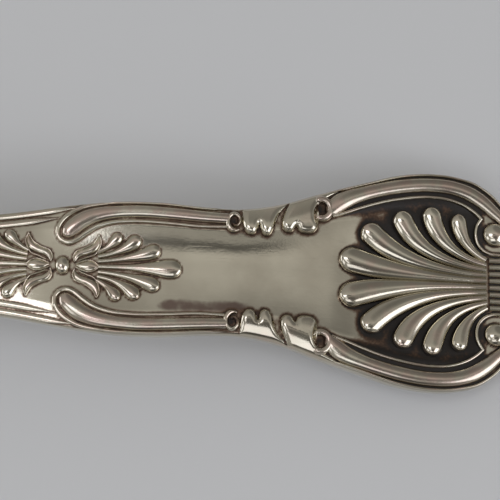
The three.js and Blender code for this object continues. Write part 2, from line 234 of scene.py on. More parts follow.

# %% [markdown]
# The colours go on in the order in which they come on the real spoon: bare plate, dull blotches, brown
# film, pink crowns, stain, and tarnish last, which in the deep shell and the eyes is also painted shade. Two
# noises make the tarnish ragged first, because real tarnish creeps and has no drawn edge. Its crust is hardly
# metal any more, so the metallic value falls with it and the roughness rises.

# %% Colour of the plate
SILVER = (0.63, 0.585, 0.475, 1)
SILVER_DULL = (0.50, 0.455, 0.365, 1)
SILVER_PINK = (0.66, 0.50, 0.42, 1)
TARNISH_BROWN = (0.16, 0.095, 0.062, 1)
# Black for the deepest tarnish, and for the painted shade of the deep shell and the eyes.
TARNISH_AND_SHADE_BLACK = (0.022, 0.018, 0.015, 1)
STAIN_PURPLE = (0.15, 0.085, 0.075, 1)
FILM_BROWN = (0.45, 0.36, 0.305, 1)
MESH_NUMBERS = ("tarnish_and_shade", "crown", "stain", "film")
DULL_RANGE = (0.35, 0.7)
FILM_RANGE = (0.3, 0.7)
CROWN_RANGE = (0.75, 1.0, 0.0, 0.6)
PINK_RANGE = (0.4, 0.65)
STAIN_LEVEL = -0.9
STAIN_MOTTLING = 1.6
SMEAR_RANGE = (0.1, 0.9, 0.0, 0.8)
SMEAR_EDGE = (0.0, 0.3)
GRAIN_LEVEL = -0.42
GRAIN_MOTTLING = 0.5
GRAIN_SPECKS = 0.35
BROWN_RANGE = (0.25, 0.75)
BLACK_RANGE = (0.55, 0.95)


def number_on_mesh(tree, name):
    return node_of(tree, "ShaderNodeAttribute", attribute_name=name).outputs["Fac"]


def silver_colour(tree, blotches, mottling, specks):
    """The colour of the plate, and the ragged number for tarnish and painted shade that it ends with."""
    tarnish_and_shade, crown, stain, film = (number_on_mesh(tree, name) for name in MESH_NUMBERS)
    colour = blend_colours(tree, ranged(tree, blotches, *DULL_RANGE), SILVER, SILVER_DULL)
    filmed = calculate(tree, "MULTIPLY", film, ranged(tree, mottling, *FILM_RANGE))
    colour = blend_colours(tree, filmed, colour, FILM_BROWN)
    crowns = ranged(tree, crown, *CROWN_RANGE)
    thinned = calculate(tree, "MULTIPLY", crowns, ranged(tree, mottling, *PINK_RANGE))
    colour = blend_colours(tree, thinned, colour, SILVER_PINK)
    ragged = weighted_sum(tree, STAIN_LEVEL, (mottling, STAIN_MOTTLING), (stain, 1.0))
    smear = ranged(tree, ragged, *SMEAR_RANGE)
    smeared = calculate(tree, "MULTIPLY", smear, ranged(tree, stain, *SMEAR_EDGE))
    colour = blend_colours(tree, smeared, colour, STAIN_PURPLE)
    grain = weighted_sum(tree, GRAIN_LEVEL, (mottling, GRAIN_MOTTLING), (specks, GRAIN_SPECKS))
    ragged_tarnish_and_shade = calculate(tree, "ADD", tarnish_and_shade, grain)
    colour = blend_colours(tree, ranged(tree, ragged_tarnish_and_shade, *BROWN_RANGE), colour, TARNISH_BROWN)
    # The darkest places turn black: tarnish, and painted shade in the deep shell and the eyes.
    colour = blend_colours(tree, ranged(tree, ragged_tarnish_and_shade, *BLACK_RANGE), colour, TARNISH_AND_SHADE_BLACK)
    return colour, ragged_tarnish_and_shade


print("colours are steered by", ", ".join(MESH_NUMBERS))

# %% [markdown]
# Years of use and polishing leave faint blotches, a mottled skin, fine pits and thin scratches that run
# mostly along the spoon. Each is one noise pattern: its features per metre, its detail and, for the
# scratches, a stretch and a turn. The same patterns also drive the roughness and a very shallow bump, so
# that colour and shine belong together.

# %% Silver material
PATTERNS = [(95, 4), (430, 5), (2700, 3), (3600, 1, (0.012, 1, 0.3), 0.12)]
SCRATCH_RANGE = (0.62, 0.74)
METAL_RANGE = (0.5, 1.1, 1.0, 0.35)
CRUST_RANGE = (0.2, 1.0, 0.0, 0.3)
ROUGH_LEVEL = 0.07
ROUGH_BLOTCHES = 0.1
ROUGH_SCRATCHES = 0.05
ROUGH_FILM = 0.1
BUMP_SPECKS = 0.6
BUMP_MOTTLING = 0.8
BUMP_SCRATCHES = -0.16
BUMP_SETTINGS = {"Strength": 0.25, "Distance": 0.00003}


def patterned(tree, coordinates, scale, detail=2.0, stretch=(1, 1, 1), turn=0.0):
    """A noise pattern; scale is in features per metre, stretch makes it streaky."""
    mapping = node_of(tree, "ShaderNodeMapping", {"Scale": stretch, "Rotation": (0, 0, turn)})
    tree.links.new(coordinates, mapping.inputs["Vector"])
    texture = node_of(tree, "ShaderNodeTexNoise", {"Scale": scale, "Detail": detail})
    tree.links.new(mapping.outputs[0], texture.inputs["Vector"])
    return texture.outputs[0]


def make_silver():
    material = bpy.data.materials.new("worn_silver_plate")
    material.use_nodes = True
    tree = material.node_tree
    sockets = tree.nodes["Principled BSDF"].inputs
    place = node_of(tree, "ShaderNodeTexCoord").outputs["Object"]
    blotches, mottling, specks, streaks = (patterned(tree, place, *settings) for settings in PATTERNS)
    scratches = ranged(tree, streaks, *SCRATCH_RANGE)
    colour, ragged_tarnish_and_shade = silver_colour(tree, blotches, mottling, specks)
    tree.links.new(colour, sockets["Base Color"])
    tree.links.new(ranged(tree, ragged_tarnish_and_shade, *METAL_RANGE), sockets["Metallic"])
    film = number_on_mesh(tree, "film")
    crust = ranged(tree, ragged_tarnish_and_shade, *CRUST_RANGE)
    rubbing = [(blotches, ROUGH_BLOTCHES), (scratches, ROUGH_SCRATCHES), (film, ROUGH_FILM), (crust, 1.0)]
    tree.links.new(weighted_sum(tree, ROUGH_LEVEL, *rubbing), sockets["Roughness"])
    bump = node_of(tree, "ShaderNodeBump", BUMP_SETTINGS)
    relief = [(specks, BUMP_SPECKS), (mottling, BUMP_MOTTLING), (scratches, BUMP_SCRATCHES)]
    tree.links.new(weighted_sum(tree, 0.0, *relief), bump.inputs["Height"])
    tree.links.new(bump.outputs[0], sockets["Normal"])
    return material


silver = make_silver()
print("material:", silver.name, "with", len(silver.node_tree.nodes), "nodes")

# %% [markdown]
# ## Three helpers that make every moulding
# Nearly everything on the handle is a moulding drawn along a line: petals, lobes, beads and scrolls. So one
# helper draws a smooth line through a few given points, one draws a section ring at each step of that
# line and extrudes it to the next, and one turns the finished flat mesh into a piece of the spoon on its
# arch. Extruding an edge loop ring by ring keeps clean quads that follow the moulding, which shows in the
# highlights.

# %% Smooth lines through points
def through(points, x):
    """A smooth value at x through (x, value) points: cubic stretches whose slopes agree where they meet."""
    last = len(points) - 1
    i = next((k for k in range(1, last) if points[k][0] >= x), last)

    def steepness(k):
        (xa, ya), (xb, yb) = points[k - 1], points[k]
        return (yb - ya) / (xb - xa)

    def slope(k):
        if k in (0, last):
            return steepness(max(k, 1))
        before, after = points[k][0] - points[k - 1][0], points[k + 1][0] - points[k][0]
        return (steepness(k) * after + steepness(k + 1) * before) / (before + after)

    (x0, y0), (x1, y1) = points[i - 1], points[i]
    run = x1 - x0
    u = min(max((x - x0) / run, 0.0), 1.0)
    ease = u * u * (3 - 2 * u)
    bend_out = slope(i - 1) * run * u * (1 - u) ** 2
    bend_in = slope(i) * run * u * u * (1 - u)
    return y0 + (y1 - y0) * ease + bend_out - bend_in


def smooth_line(points, step):
    """Evenly spaced stations along a smooth line; each point is (s, t, more values...)."""
    reach = [0.0]
    for a, b in zip(points, points[1:]):
        reach.append(reach[-1] + math.dist(a[:2], b[:2]))
    count = max(2, round(reach[-1] / step))
    tracks = [list(zip(reach, values)) for values in zip(*points)]
    places = [reach[-1] * i / count for i in range(count + 1)]
    return [tuple(through(track, place) for track in tracks) for place in places]


print("a test line:", [tuple(round(v, 2) for v in p) for p in smooth_line([(0, 0), (2, 1), (4, 0)], 1.5)])

# %% [markdown]
# The handle's outline is trimmed from the blank after striking. Here it is one row of half-widths along s,
# measured on the photograph for the decorated end and guessed for the stem. Both sides share it, so the
# handle stays true.

# %% The handle's outline
TIP_S = 72.2
HALF_WIDTH_POINTS = [
    (-145, 7.2), (-135, 5.8), (-122, 4.8), (-100, 4.4), (-70, 4.9), (-40, 6.0), (-9, 7.7), (2.4, 9.4),
    (8.2, 10.0), (14, 10.05), (21.3, 9.57), (25, 9.55), (31.6, 10.6), (37.5, 12.6), (43.5, 14.45),
    (49.5, 16.2), (54.1, 16.75), (58, 16.5), (61.8, 15.3), (64.9, 12.6), (66.6, 10.0), (67.4, 7.6),
    (68, 6.4), (69.4, 6.2), (70.8, 5.0), (71.8, 3.0), (TIP_S, 1.2),
]


def half_width(s):
    return through(HALF_WIDTH_POINTS, s)


print("widest at the shoulders:", round(2 * max(t for _, t in HALF_WIDTH_POINTS), 1), "mm")

# %% [markdown]
# A ring of the sweep is the section of the moulding: a rounded crown and a flat bottom sunk below the
# struck ground, so that no gap shows where it meets the plate. The crown number is written while the ring
# is drawn, because here the place of each point on the round of the section is known.

# %% Sweeping a section along a line
SINK = 0.8
CROWN_POINTS = 14
KEEP_HEIGHT = 0.5


def sweep(bm, rings):
    """Draws the first ring, extrudes it ring by ring and fills both ends; a point is (place, crown)."""
    crown_layer = bm.verts.layers.float.get("crown") or bm.verts.layers.float.new("crown")
    verts = [bm.verts.new(place) for place, _ in rings[0]]
    edges = [bm.edges.new(pair) for pair in zip(verts, verts[1:] + verts[:1])]
    ends = [list(verts)]
    for vert, (_, crown) in zip(verts, rings[0]):
        vert[crown_layer] = crown
    for ring in rings[1:]:
        grown = bmesh.ops.extrude_edge_only(bm, edges=edges)["geom"]
        fresh = {part for part in grown if isinstance(part, bmesh.types.BMVert)}
        fresh_edges = {part for part in grown if isinstance(part, bmesh.types.BMEdge)}
        verts = [next(e.other_vert(v) for e in v.link_edges if e.other_vert(v) in fresh) for v in verts]
        edges = [e for e in fresh_edges if e.verts[0] in fresh and e.verts[1] in fresh]
        for vert, (place, crown) in zip(verts, ring):
            vert.co = place
            vert[crown_layer] = crown
    ends.append(verts)
    for end in ends:
        bm.faces.new(end)
    return bm


def moulding_rings(stations, height, keep_height=KEEP_HEIGHT):
    """Rings along (s, t, half-width) stations; the moulding gets lower where it gets narrower."""
    widest = max(station[2] for station in stations)
    rings = []
    for i, (s, t, width) in enumerate(stations):
        before, after = stations[max(i - 1, 0)], stations[min(i + 1, len(stations) - 1)]
        along = Vector((after[0] - before[0], after[1] - before[1])).normalized()
        rise = height * (width / widest) ** keep_height
        ring = []
        for k in range(CROWN_POINTS):
            angle = math.pi * k / (CROWN_POINTS - 1)
            across = math.cos(angle) * width
            up = rise * math.sin(angle)
            ring.append((Vector((s - along.y * across, t + along.x * across, up)), math.sin(angle)))
        for across in (-width, width):
            ring.append((Vector((s - along.y * across, t + along.x * across, -SINK)), 0.0))
        rings.append(ring)
    return rings


print("a moulding's section has", CROWN_POINTS + 2, "points")

# %% [markdown]
# Polishing reaches the crowns first, so tarnish stays at the foot of each ornament: lightly on the
# palmettes, heavily in the deep shell, and almost black in the eyes of the scrolls and of the small curls.
# In the deep shell and the eyes that darkness is also painted shade.

# %% Tarnish and painted shade by place
SHELL_SHADE = (36, 43)
PATINA_LIGHT = 0.78
EYE_CENTRE = (37.65, 10.1)
CURL_CENTRE = (24.9, 7.6)
EYE_SHADE = 0.92
EYE_POWER = 4
EYE_REACHES = {EYE_CENTRE: 1.0, CURL_CENTRE: 0.85}


def shade_of(s):
    """How dark the tarnish gets at a place along the handle; in the deep shell it is also painted shade."""
    return PATINA_LIGHT + (1 - PATINA_LIGHT) * smoothstep(*SHELL_SHADE, s)


def eye_at(s, t):
    """The eyes of the scrolls and curls are never polished; their dark is tarnish and painted shade for the
    hole.
    """
    nearest = min(math.dist((s, abs(t)), centre) / reach for centre, reach in EYE_REACHES.items())
    return EYE_SHADE * math.exp(-nearest ** EYE_POWER)


print("shade on the panel and in the shell:", shade_of(0), shade_of(TIP_S))

# %% [markdown]
# The dies don't leave the ground flat. The panel is hollow along its middle, which gives it a soft gradient
# of light, and the stem is rounded across. Every ornament stands on this curve, so one function gives it to
# all of them.

# %% The struck ground's own curve
DISH_DEPTH = 0.42
DISH_FLAT = 0.08
DISH_RIM = 0.66
PANEL_RISE = (-9, 6)
PANEL_FALL = (60, 66)
STEM_CROWN = 0.5
STEM_CROWN_RISE = (HEEL_S, HEEL_S + 20)


def between(rise, fall, x):
    """Eases in over the rise stretch and out again over the fall stretch."""
    return smoothstep(*rise, x) * (1 - smoothstep(*fall, x))


def dish(s, across):
    """The height of the ground against its flat level; across runs from -1 to 1."""
    open_share = min(max((abs(across) - DISH_FLAT) / (DISH_RIM - DISH_FLAT), 0.0), 1.0)
    hollow = between(PANEL_RISE, PANEL_FALL, s) * (1 - open_share ** 2)
    stem = (1 - smoothstep(*PANEL_RISE, s)) * smoothstep(*STEM_CROWN_RISE, s)
    return -DISH_DEPTH * hollow - STEM_CROWN * stem * across * across


print("panel dished by", round(-dish(25, 0), 2), "mm")

# %% [markdown]
# Turning a flat mesh into a piece: mirror it across the axis for the near side or along it for the stem
# side, lift it to the front face or drop it to the back one, and set it to the arch. A mirrored mesh is
# inside out, so the normals are worked out again at the end.

# %% Setting a flat piece to the arch
FACES = {"front": 1, "back": -1}
SIDES = {"far": 1, "near": -1}
SHARP_ANGLE = 50
WELD = 1e-7
PATINA_FOOT = (0.02, 0.3)
struck_faces = {face: [] for face in FACES.values()}


def finish_piece(bm, name, nodes, sharp_angle=SHARP_ANGLE):
    """Turns a finished mesh into an object of the spoon that takes the place of its CAD nodes."""
    bmesh.ops.remove_doubles(bm, verts=bm.verts, dist=WELD)
    bmesh.ops.recalc_face_normals(bm, faces=bm.faces)
    mesh = bpy.data.meshes.new(name)
    bm.to_mesh(mesh)
    bm.free()
    mesh.shade_smooth()
    mesh.set_sharp_from_angle(angle=math.radians(sharp_angle))
    piece = show(name, mesh)
    mesh.materials.append(silver)
    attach(piece, "root")
    if nodes:
        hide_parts(*nodes)
    return piece


def strike(bm, name, face, nodes=(), side=1, way=1, film=0.0):
    """Stamps a flat mesh into a face: its tarnish, with painted shade in the shell and the eyes, follows its
    height, then it is set to the arch.
    """
    crown_layer = bm.verts.layers.float.get("crown")
    tarnish_and_shade_layer, film_layer = (bm.verts.layers.float.new(layer) for layer in ("tarnish_and_shade", "film"))
    for vert in bm.verts:
        s, t, rise = vert.co.x * way, vert.co.y, vert.co.z
        foot = shade_of(s) * (1 - smoothstep(*PATINA_FOOT, vert[crown_layer]))
        vert[tarnish_and_shade_layer] = max(foot, eye_at(s, t))
        vert[film_layer] = film
        level = half_thickness(s) + dish(s, t / half_width(s))
        vert.co = arch(s, t * side, face * (level + rise))
    piece = finish_piece(bm, name, nodes)
    struck_faces[face].append(piece)
    return piece


def strike_moulding(name, face, stations, height, nodes=(), side=1, keep_height=KEEP_HEIGHT):
    bm = sweep(bmesh.new(), moulding_rings(stations, height, keep_height))
    return strike(bm, name, face, nodes, side)


def on_all_sides(strike_one):
    """Strikes an ornament on the far and near sides of the front, then of the back."""
    for face_name, face in FACES.items():
        for side_name, side in SIDES.items():
            strike_one(face_name, face, side_name, side)


# %% [markdown]
# ## The scallop shell
# Ten lobes fan out of the seam near the tip, five on each side of the axis. Each is a teardrop: a fat round
# head, then a tail that narrows quickly and runs into a rib. Sculpting could make them too, but a swept
# teardrop gives all ten the same clean swell. The heads are listed from the axis outwards.

# %% Shell lobes
HEAD_STEPS = 9
HEAD_START = 0.12
TAIL_POWER = 1.9
SEAM_S = 62.45
LOBE_ROOT_S = SEAM_S - 0.1
LOBE_HEIGHT = 1.2
LOBE_STEP = 0.22
LOBE_FALL = 0.58
LOBE_ROOT_WIDTH = 0.44
LOBE_KEEP_HEIGHT = 0.45
SHELL_LOBES = [
    ((42.4, 2.65), (49.0, 0.6), 0.5, 2.0),
    ((45.3, 6.7), (50.5, 1.7), 1.35, 1.8),
    ((49.9, 8.9), (52.5, 3.2), 2.15, 1.65),
    ((54.2, 9.85), (55.5, 4.6), 2.95, 1.55),
    ((58.25, 9.25), (58.8, 5.6), 3.7, 1.3),
]


def teardrop(head, bend_point, root, radius, root_width, step, fall):
    """Stations of a lobe: a round head that narrows along a curved tail to its root."""
    head, bend_point, root = Vector(head), Vector(bend_point), Vector(root)
    length = (bend_point - head).length + (root - bend_point).length
    count = round(length / step)
    outward = (head - bend_point).normalized()
    stations = []
    for i in range(HEAD_STEPS):
        turn = HEAD_START + (math.pi / 2 - HEAD_START) * i / HEAD_STEPS
        spot = head + outward * radius * math.cos(turn)
        stations.append((spot.x, spot.y, radius * math.sin(turn)))
    for i in range(count + 1):
        u = i / count
        spot = head * (1 - u) ** 2 + bend_point * 2 * u * (1 - u) + root * u * u
        narrowing = math.exp(-((u / fall) ** TAIL_POWER))
        stations.append((spot.x, spot.y, root_width + (radius - root_width) * narrowing))
    return stations


def strike_shell(face_name, face, side_name, side):
    for i, (head, bend_point, root_t, radius) in enumerate(SHELL_LOBES, 1):
        root = (LOBE_ROOT_S, root_t)
        stations = teardrop(head, bend_point, root, radius, LOBE_ROOT_WIDTH, LOBE_STEP, LOBE_FALL)
        name = f"{face_name}_shell_lobe_{side_name}_{i}"
        strike_moulding("struck_" + name, face, stations, LOBE_HEIGHT, [name], side, LOBE_KEEP_HEIGHT)


on_all_sides(strike_shell)
print("shell lobes:", len(struck_faces[1]), "on the front")

# %% [markdown]
# ## Crest at the tip
# Past the seam the ribs run on, side by side, and flare a little to the tip. The seam is the thin line of
# ground that stays between the roots of the lobes and these ribs. A ridged sheet could stand for them, but
# eight mouldings keep their round ends.

# %% Crest
CREST_RIBS = 8
CREST_PITCH = 1.05
CREST_START_S = SEAM_S + 0.45
CREST_END_S = 71.6
CREST_ROUNDING = 0.2
CREST_ROOT = [(0.0, 1.0, 0.4), (3.0, 1.05, 0.46)]
CREST_FLARE = [(-1.2, 1.3, 0.6), (-0.3, 1.326, 0.5), (0.0, 1.339, 0.12)]
CREST_HEIGHT = 0.5
CREST_STEP = 0.25


def strike_crest(face_name, face):
    """Each rib runs from its root to its flare; a station is (run, spread, half-width)."""
    bm = bmesh.new()
    middle = (CREST_RIBS - 1) / 2
    for i in range(CREST_RIBS):
        out = (i - middle) * CREST_PITCH
        end = CREST_END_S - CREST_ROUNDING * (i - middle) ** 2
        points = [(CREST_START_S + run, out * spread, width) for run, spread, width in CREST_ROOT]
        points += [(end + run, out * spread, width) for run, spread, width in CREST_FLARE]
        sweep(bm, moulding_rings(smooth_line(points, CREST_STEP), CREST_HEIGHT))
    return strike(bm, f"struck_{face_name}_crest", face, [f"{face_name}_crest"])


crests = [strike_crest(face_name, face) for face_name, face in FACES.items()]
print("crest:", CREST_RIBS, "ribs,", len(crests[0].data.vertices), "vertices on each face")

# %% [markdown]
# ## Palmettes, calyx and boss
# Two little fans of seven petals spring from the boss, one towards the tip and one towards the bowl. A
# petal is a small teardrop like a shell lobe, so the same helper draws it; a leaf with a bead on each side
# fills the heart of the fan.

# %% Palmettes
PETAL_HEIGHT = 0.78
PETAL_ROOT_WIDTH = 0.36
PETAL_STEP = 0.2
PETAL_FALL = 0.4
PETALS = [
    ((15.85, 0.0), (11.0, 0.0), (5.2, 0.0), 1.5),
    ((13.1, 2.5), (9.5, 1.15), (5.2, 0.8), 1.15),
    ((10.35, 3.85), (8.3, 2.05), (5.1, 1.5), 1.1),
    ((7.75, 4.25), (6.6, 2.8), (5.0, 2.1), 0.95),
]
HEART = [(2.0, 0.12, 0.12), (2.9, 0.0, 0.62), (3.9, 0.0, 0.85), (4.7, 0.0, 0.6), (5.25, 0.0, 0.12)]
HEART_BEAD = [(1.9, 0.25), (2.9, 0.68), (3.9, 0.88), (4.7, 0.6), (5.25, 0.04)]
HEART_HEIGHT = 0.42
FINE_BEAD = 0.16
FINE_BEAD_HEIGHT = 0.42
FINE_BEAD_STEP = 0.2


def bead_along(points, width=FINE_BEAD, step=FINE_BEAD_STEP):
    return [(s, t, width) for s, t in smooth_line(points, step)]


def strike_palmette(face_name, face, way_name, way):
    bm = bmesh.new()
    for side in SIDES.values():
        for head, bend_point, root, radius in PETALS:
            if head[1] == 0 and side < 0:
                continue
            stations = teardrop(head, bend_point, root, radius, PETAL_ROOT_WIDTH, PETAL_STEP, PETAL_FALL)
            stations = [(s, t * side, width) for s, t, width in stations]
            sweep(bm, moulding_rings(stations, PETAL_HEIGHT))
        bead = [(s, t * side, width) for s, t, width in bead_along(HEART_BEAD)]
        sweep(bm, moulding_rings(bead, FINE_BEAD_HEIGHT))
    sweep(bm, moulding_rings(smooth_line(HEART, FINE_BEAD_STEP), HEART_HEIGHT))
    name = f"{face_name}_palmette_{way_name}"
    return strike(bm, "struck_" + name, face, [name], 1, way)


WAYS = {"tip": 1, "stem": -1}
for face_name, face in FACES.items():
    for way_name, way in WAYS.items():
        strike_palmette(face_name, face, way_name, way)
print("palmettes:", len(WAYS) * len(FACES), "fans of", 2 * len(PETALS) - 1, "petals")

# %% [markdown]
# Four curled leaves hold the boss like a calyx, each between two fine beads, and the boss itself is a small
# oval dome. A sphere whose lower half is flattened to the sinking depth makes a dome with a clean pole, and
# it serves for the balls beside the scrolls too.

# %% Calyx leaves and boss
CALYX_LEAF = [
    (1.75, 0.75, 0.2), (1.95, 1.4, 0.42), (2.6, 1.95, 0.52), (3.6, 2.3, 0.56), (4.55, 2.85, 0.6),
    (5.05, 3.6, 0.4), (5.15, 4.4, 0.12),
]
CALYX_OUTER_BEAD = [(1.75, 0.5), (1.5, 1.3), (1.85, 2.1), (3.2, 2.72), (4.45, 3.55), (5.12, 4.75)]
CALYX_INNER_BEAD = [(5.12, 4.75), (5.5, 3.7), (5.25, 2.7), (4.7, 1.8), (3.4, 1.25), (2.4, 0.8)]
CALYX_HEIGHT = 0.4
CALYX_STEP = 0.18
BOSS_RADII = (1.15, 1.4)
BOSS_HEIGHT = 1.05
DOME_SEGMENTS = 40
DOME_RINGS = 24
DOME_BELOW = -0.01


def strike_dome(name, face, s, t, radii, height, nodes, side=1):
    bm = bmesh.new()
    bmesh.ops.create_uvsphere(bm, u_segments=DOME_SEGMENTS, v_segments=DOME_RINGS, radius=1)
    crown_layer = bm.verts.layers.float.new("crown")
    for vert in bm.verts:
        vert[crown_layer] = max(vert.co.z, 0)
    below = [vert for vert in bm.verts if vert.co.z < DOME_BELOW]
    bmesh.ops.scale(bm, vec=(1, 1, SINK / height), verts=below)
    bmesh.ops.scale(bm, vec=(radii[0], radii[1], height), verts=bm.verts)
    bmesh.ops.translate(bm, vec=(s, t, 0), verts=bm.verts)
    return strike(bm, name, face, nodes, side)


def strike_calyx_leaf(name, face, side, way):
    bm = sweep(bmesh.new(), moulding_rings(smooth_line(CALYX_LEAF, CALYX_STEP), CALYX_HEIGHT))
    for bead in (CALYX_OUTER_BEAD, CALYX_INNER_BEAD):
        sweep(bm, moulding_rings(bead_along(bead), FINE_BEAD_HEIGHT))
    return strike(bm, "struck_" + name, face, [name], side, way)


for face_name, face in FACES.items():
    strike_dome(f"struck_{face_name}_boss", face, 0, 0, BOSS_RADII, BOSS_HEIGHT, [f"{face_name}_boss"])
    for way_name, way in WAYS.items():
        for side_name, side in SIDES.items():
            strike_calyx_leaf(f"{face_name}_calyx_leaf_{way_name}_{side_name}", face, side, way)
print("boss and calyx: struck pieces on the front are now", len(struck_faces[1]))

# %% [markdown]
# ## Long bands
# A plump roll with a bulb end runs along each edge from the boss to the leaves. A fine bead goes round it
# like a cord: in from the edge, round the bulb and along the inner side. A bevelled curve would give both
# one width; the sweep lets the width change from ring to ring.

# %% Long bands and their beads
LONG_BAND = [
    (0.62, 4.14, 0.25), (0.62, 4.24, 0.58), (0.63, 4.5, 0.88), (0.7, 4.9, 1.1), (0.95, 5.4, 1.24),
    (1.4, 5.88, 1.32), (2.0, 6.42, 1.35), (2.8, 6.97, 1.32), (4.0, 7.53, 1.2), (5.6, 7.98, 1.08),
    (7.7, 8.3, 0.98), (10.6, 8.5, 0.98), (15.7, 8.35, 0.95), (20.0, 8.1, 0.92), (23.9, 7.95, 0.85),
]
BAND_HEIGHT = 0.9
BAND_STEP = 0.25
ROLL_FILM = 0.75
BAND_BEAD = [
    (6.2, 9.5, 0.2), (4.6, 9.3, 0.25), (3.2, 9.02, 0.3), (2.2, 8.68, 0.34), (1.2, 8.15, 0.36),
    (-0.2, 7.0, 0.38), (-0.9, 5.6, 0.38), (-0.78, 4.4, 0.38), (-0.1, 3.72, 0.4), (0.7, 3.52, 0.42),
    (1.75, 3.88, 0.42), (3.2, 4.95, 0.42), (4.8, 5.98, 0.4), (7.0, 6.7, 0.36), (9.9, 7.0, 0.3),
    (15.0, 6.9, 0.26), (20.0, 6.6, 0.26), (24.2, 6.7, 0.26),
]
BEAD_HEIGHT = 0.4
BEAD_STEP = 0.22


def strike_band(face_name, face, side_name, side):
    name = f"{face_name}_long_band_{side_name}"
    bm = sweep(bmesh.new(), moulding_rings(smooth_line(LONG_BAND, BAND_STEP), BAND_HEIGHT))
    strike(bm, "struck_" + name, face, [name], side, film=ROLL_FILM)
    bead = smooth_line(BAND_BEAD, BEAD_STEP)
    strike_moulding(f"struck_{face_name}_band_bead_{side_name}", face, bead, BEAD_HEIGHT, (), side)


on_all_sides(strike_band)
print("a band is swept through", len(smooth_line(LONG_BAND, BAND_STEP)), "rings")

# %% [markdown]
# ## Big scrolls
# A broad roll hooks round a dark eye, sweeps round each shoulder and turns in beside a round volute ball.
# The inner bead ends in a sharp cusp and then loops round the ball. Only its path and width differ from the
# band's, so the same sweep draws it.

# %% Big scrolls, their beads and balls
BIG_SCROLL = [
    (38.5, 9.15, 0.35), (38.85, 9.6, 0.9), (39.4, 10.35, 1.25), (40.3, 11.2, 1.42), (41.6, 11.97, 1.35),
    (43.5, 12.72, 1.18), (46.5, 13.65, 1.12), (49.5, 14.35, 1.14), (54.1, 14.9, 1.15), (57.5, 14.7, 1.18),
    (60.0, 13.95, 1.2), (62.0, 12.75, 1.15), (63.6, 11.4, 1.0), (65.2, 9.9, 0.85), (66.3, 8.3, 0.65),
    (66.5, 6.9, 0.35),
]
SCROLL_HEIGHT = 0.925
SCROLL_STEP = 0.3
EYE_RING_REACH = (1.28, 1.45)
EYE_RING_HALF_WIDTH = 0.6
EYE_RING_HEIGHT = 0.85
EYE_RING_GAP = math.radians(38)
EYE_RING_STEPS = 48
EYE_RING_TAPER = 5
EYE_RING_END = 0.4
SCROLL_BEAD = [
    (39.3, 9.1), (41.2, 9.75), (43.4, 10.6), (46.4, 11.65), (49.4, 12.4), (53.9, 13.0), (57.0, 12.75),
    (59.4, 11.9), (61.2, 10.65), (61.75, 10.1),
]
BALL_BEAD = [(61.75, 10.1), (61.1, 9.0), (60.9, 7.6), (61.2, 6.3), (62.1, 5.2), (63.2, 4.7), (66.4, 4.9)]
BEAD_HALF_WIDTH = 0.27
SCROLL_BEAD_STEP = 0.25
BALL_BEAD_STEP = 0.2
BALL_PLACE = (63.8, 7.75)
BALL_RADII = (1.8, 1.8)
BALL_HEIGHT = 1.15


def eye_ring():
    """The hook round a scroll's eye, open only where it meets the leaf."""
    stations = []
    for i in range(EYE_RING_STEPS + 1):
        angle = (math.pi - EYE_RING_GAP) * (2 * i / EYE_RING_STEPS - 1)
        s = EYE_CENTRE[0] + EYE_RING_REACH[0] * math.cos(angle)
        t = EYE_CENTRE[1] + EYE_RING_REACH[1] * math.sin(angle)
        ending = smoothstep(0, EYE_RING_TAPER, min(i, EYE_RING_STEPS - i))
        stations.append((s, t, EYE_RING_HALF_WIDTH * (EYE_RING_END + (1 - EYE_RING_END) * ending)))
    return stations


def strike_scroll(face_name, face, side_name, side):
    name = f"{face_name}_big_scroll_{side_name}"
    bm = sweep(bmesh.new(), moulding_rings(smooth_line(BIG_SCROLL, SCROLL_STEP), SCROLL_HEIGHT))
    sweep(bm, moulding_rings(eye_ring(), EYE_RING_HEIGHT))
    strike(bm, "struck_" + name, face, [name], side, film=ROLL_FILM)
    bm = bmesh.new()
    for bead, step in ((SCROLL_BEAD, SCROLL_BEAD_STEP), (BALL_BEAD, BALL_BEAD_STEP)):
        sweep(bm, moulding_rings(bead_along(bead, BEAD_HALF_WIDTH, step), BEAD_HEIGHT))
    strike(bm, f"struck_{face_name}_scroll_bead_{side_name}", face, (), side)
    ball = f"{face_name}_volute_ball_{side_name}"
    strike_dome("struck_" + ball, face, *BALL_PLACE, BALL_RADII, BALL_HEIGHT, [ball], side)


on_all_sides(strike_scroll)
print("a scroll is swept through", len(smooth_line(BIG_SCROLL, SCROLL_STEP)), "rings")

# %% [markdown]
# ## Leaf sprays
# Between the band and the scroll two lobed leaves lie against the edge, after a small curl. A leaf is drawn
# as pairs of points: s and t on its lobed inner side, and the s where the same rib of the leaf meets the
# handle's edge. This is how a die cutter would mark it out, and it keeps the ribs fanned like those of a
# real leaf.

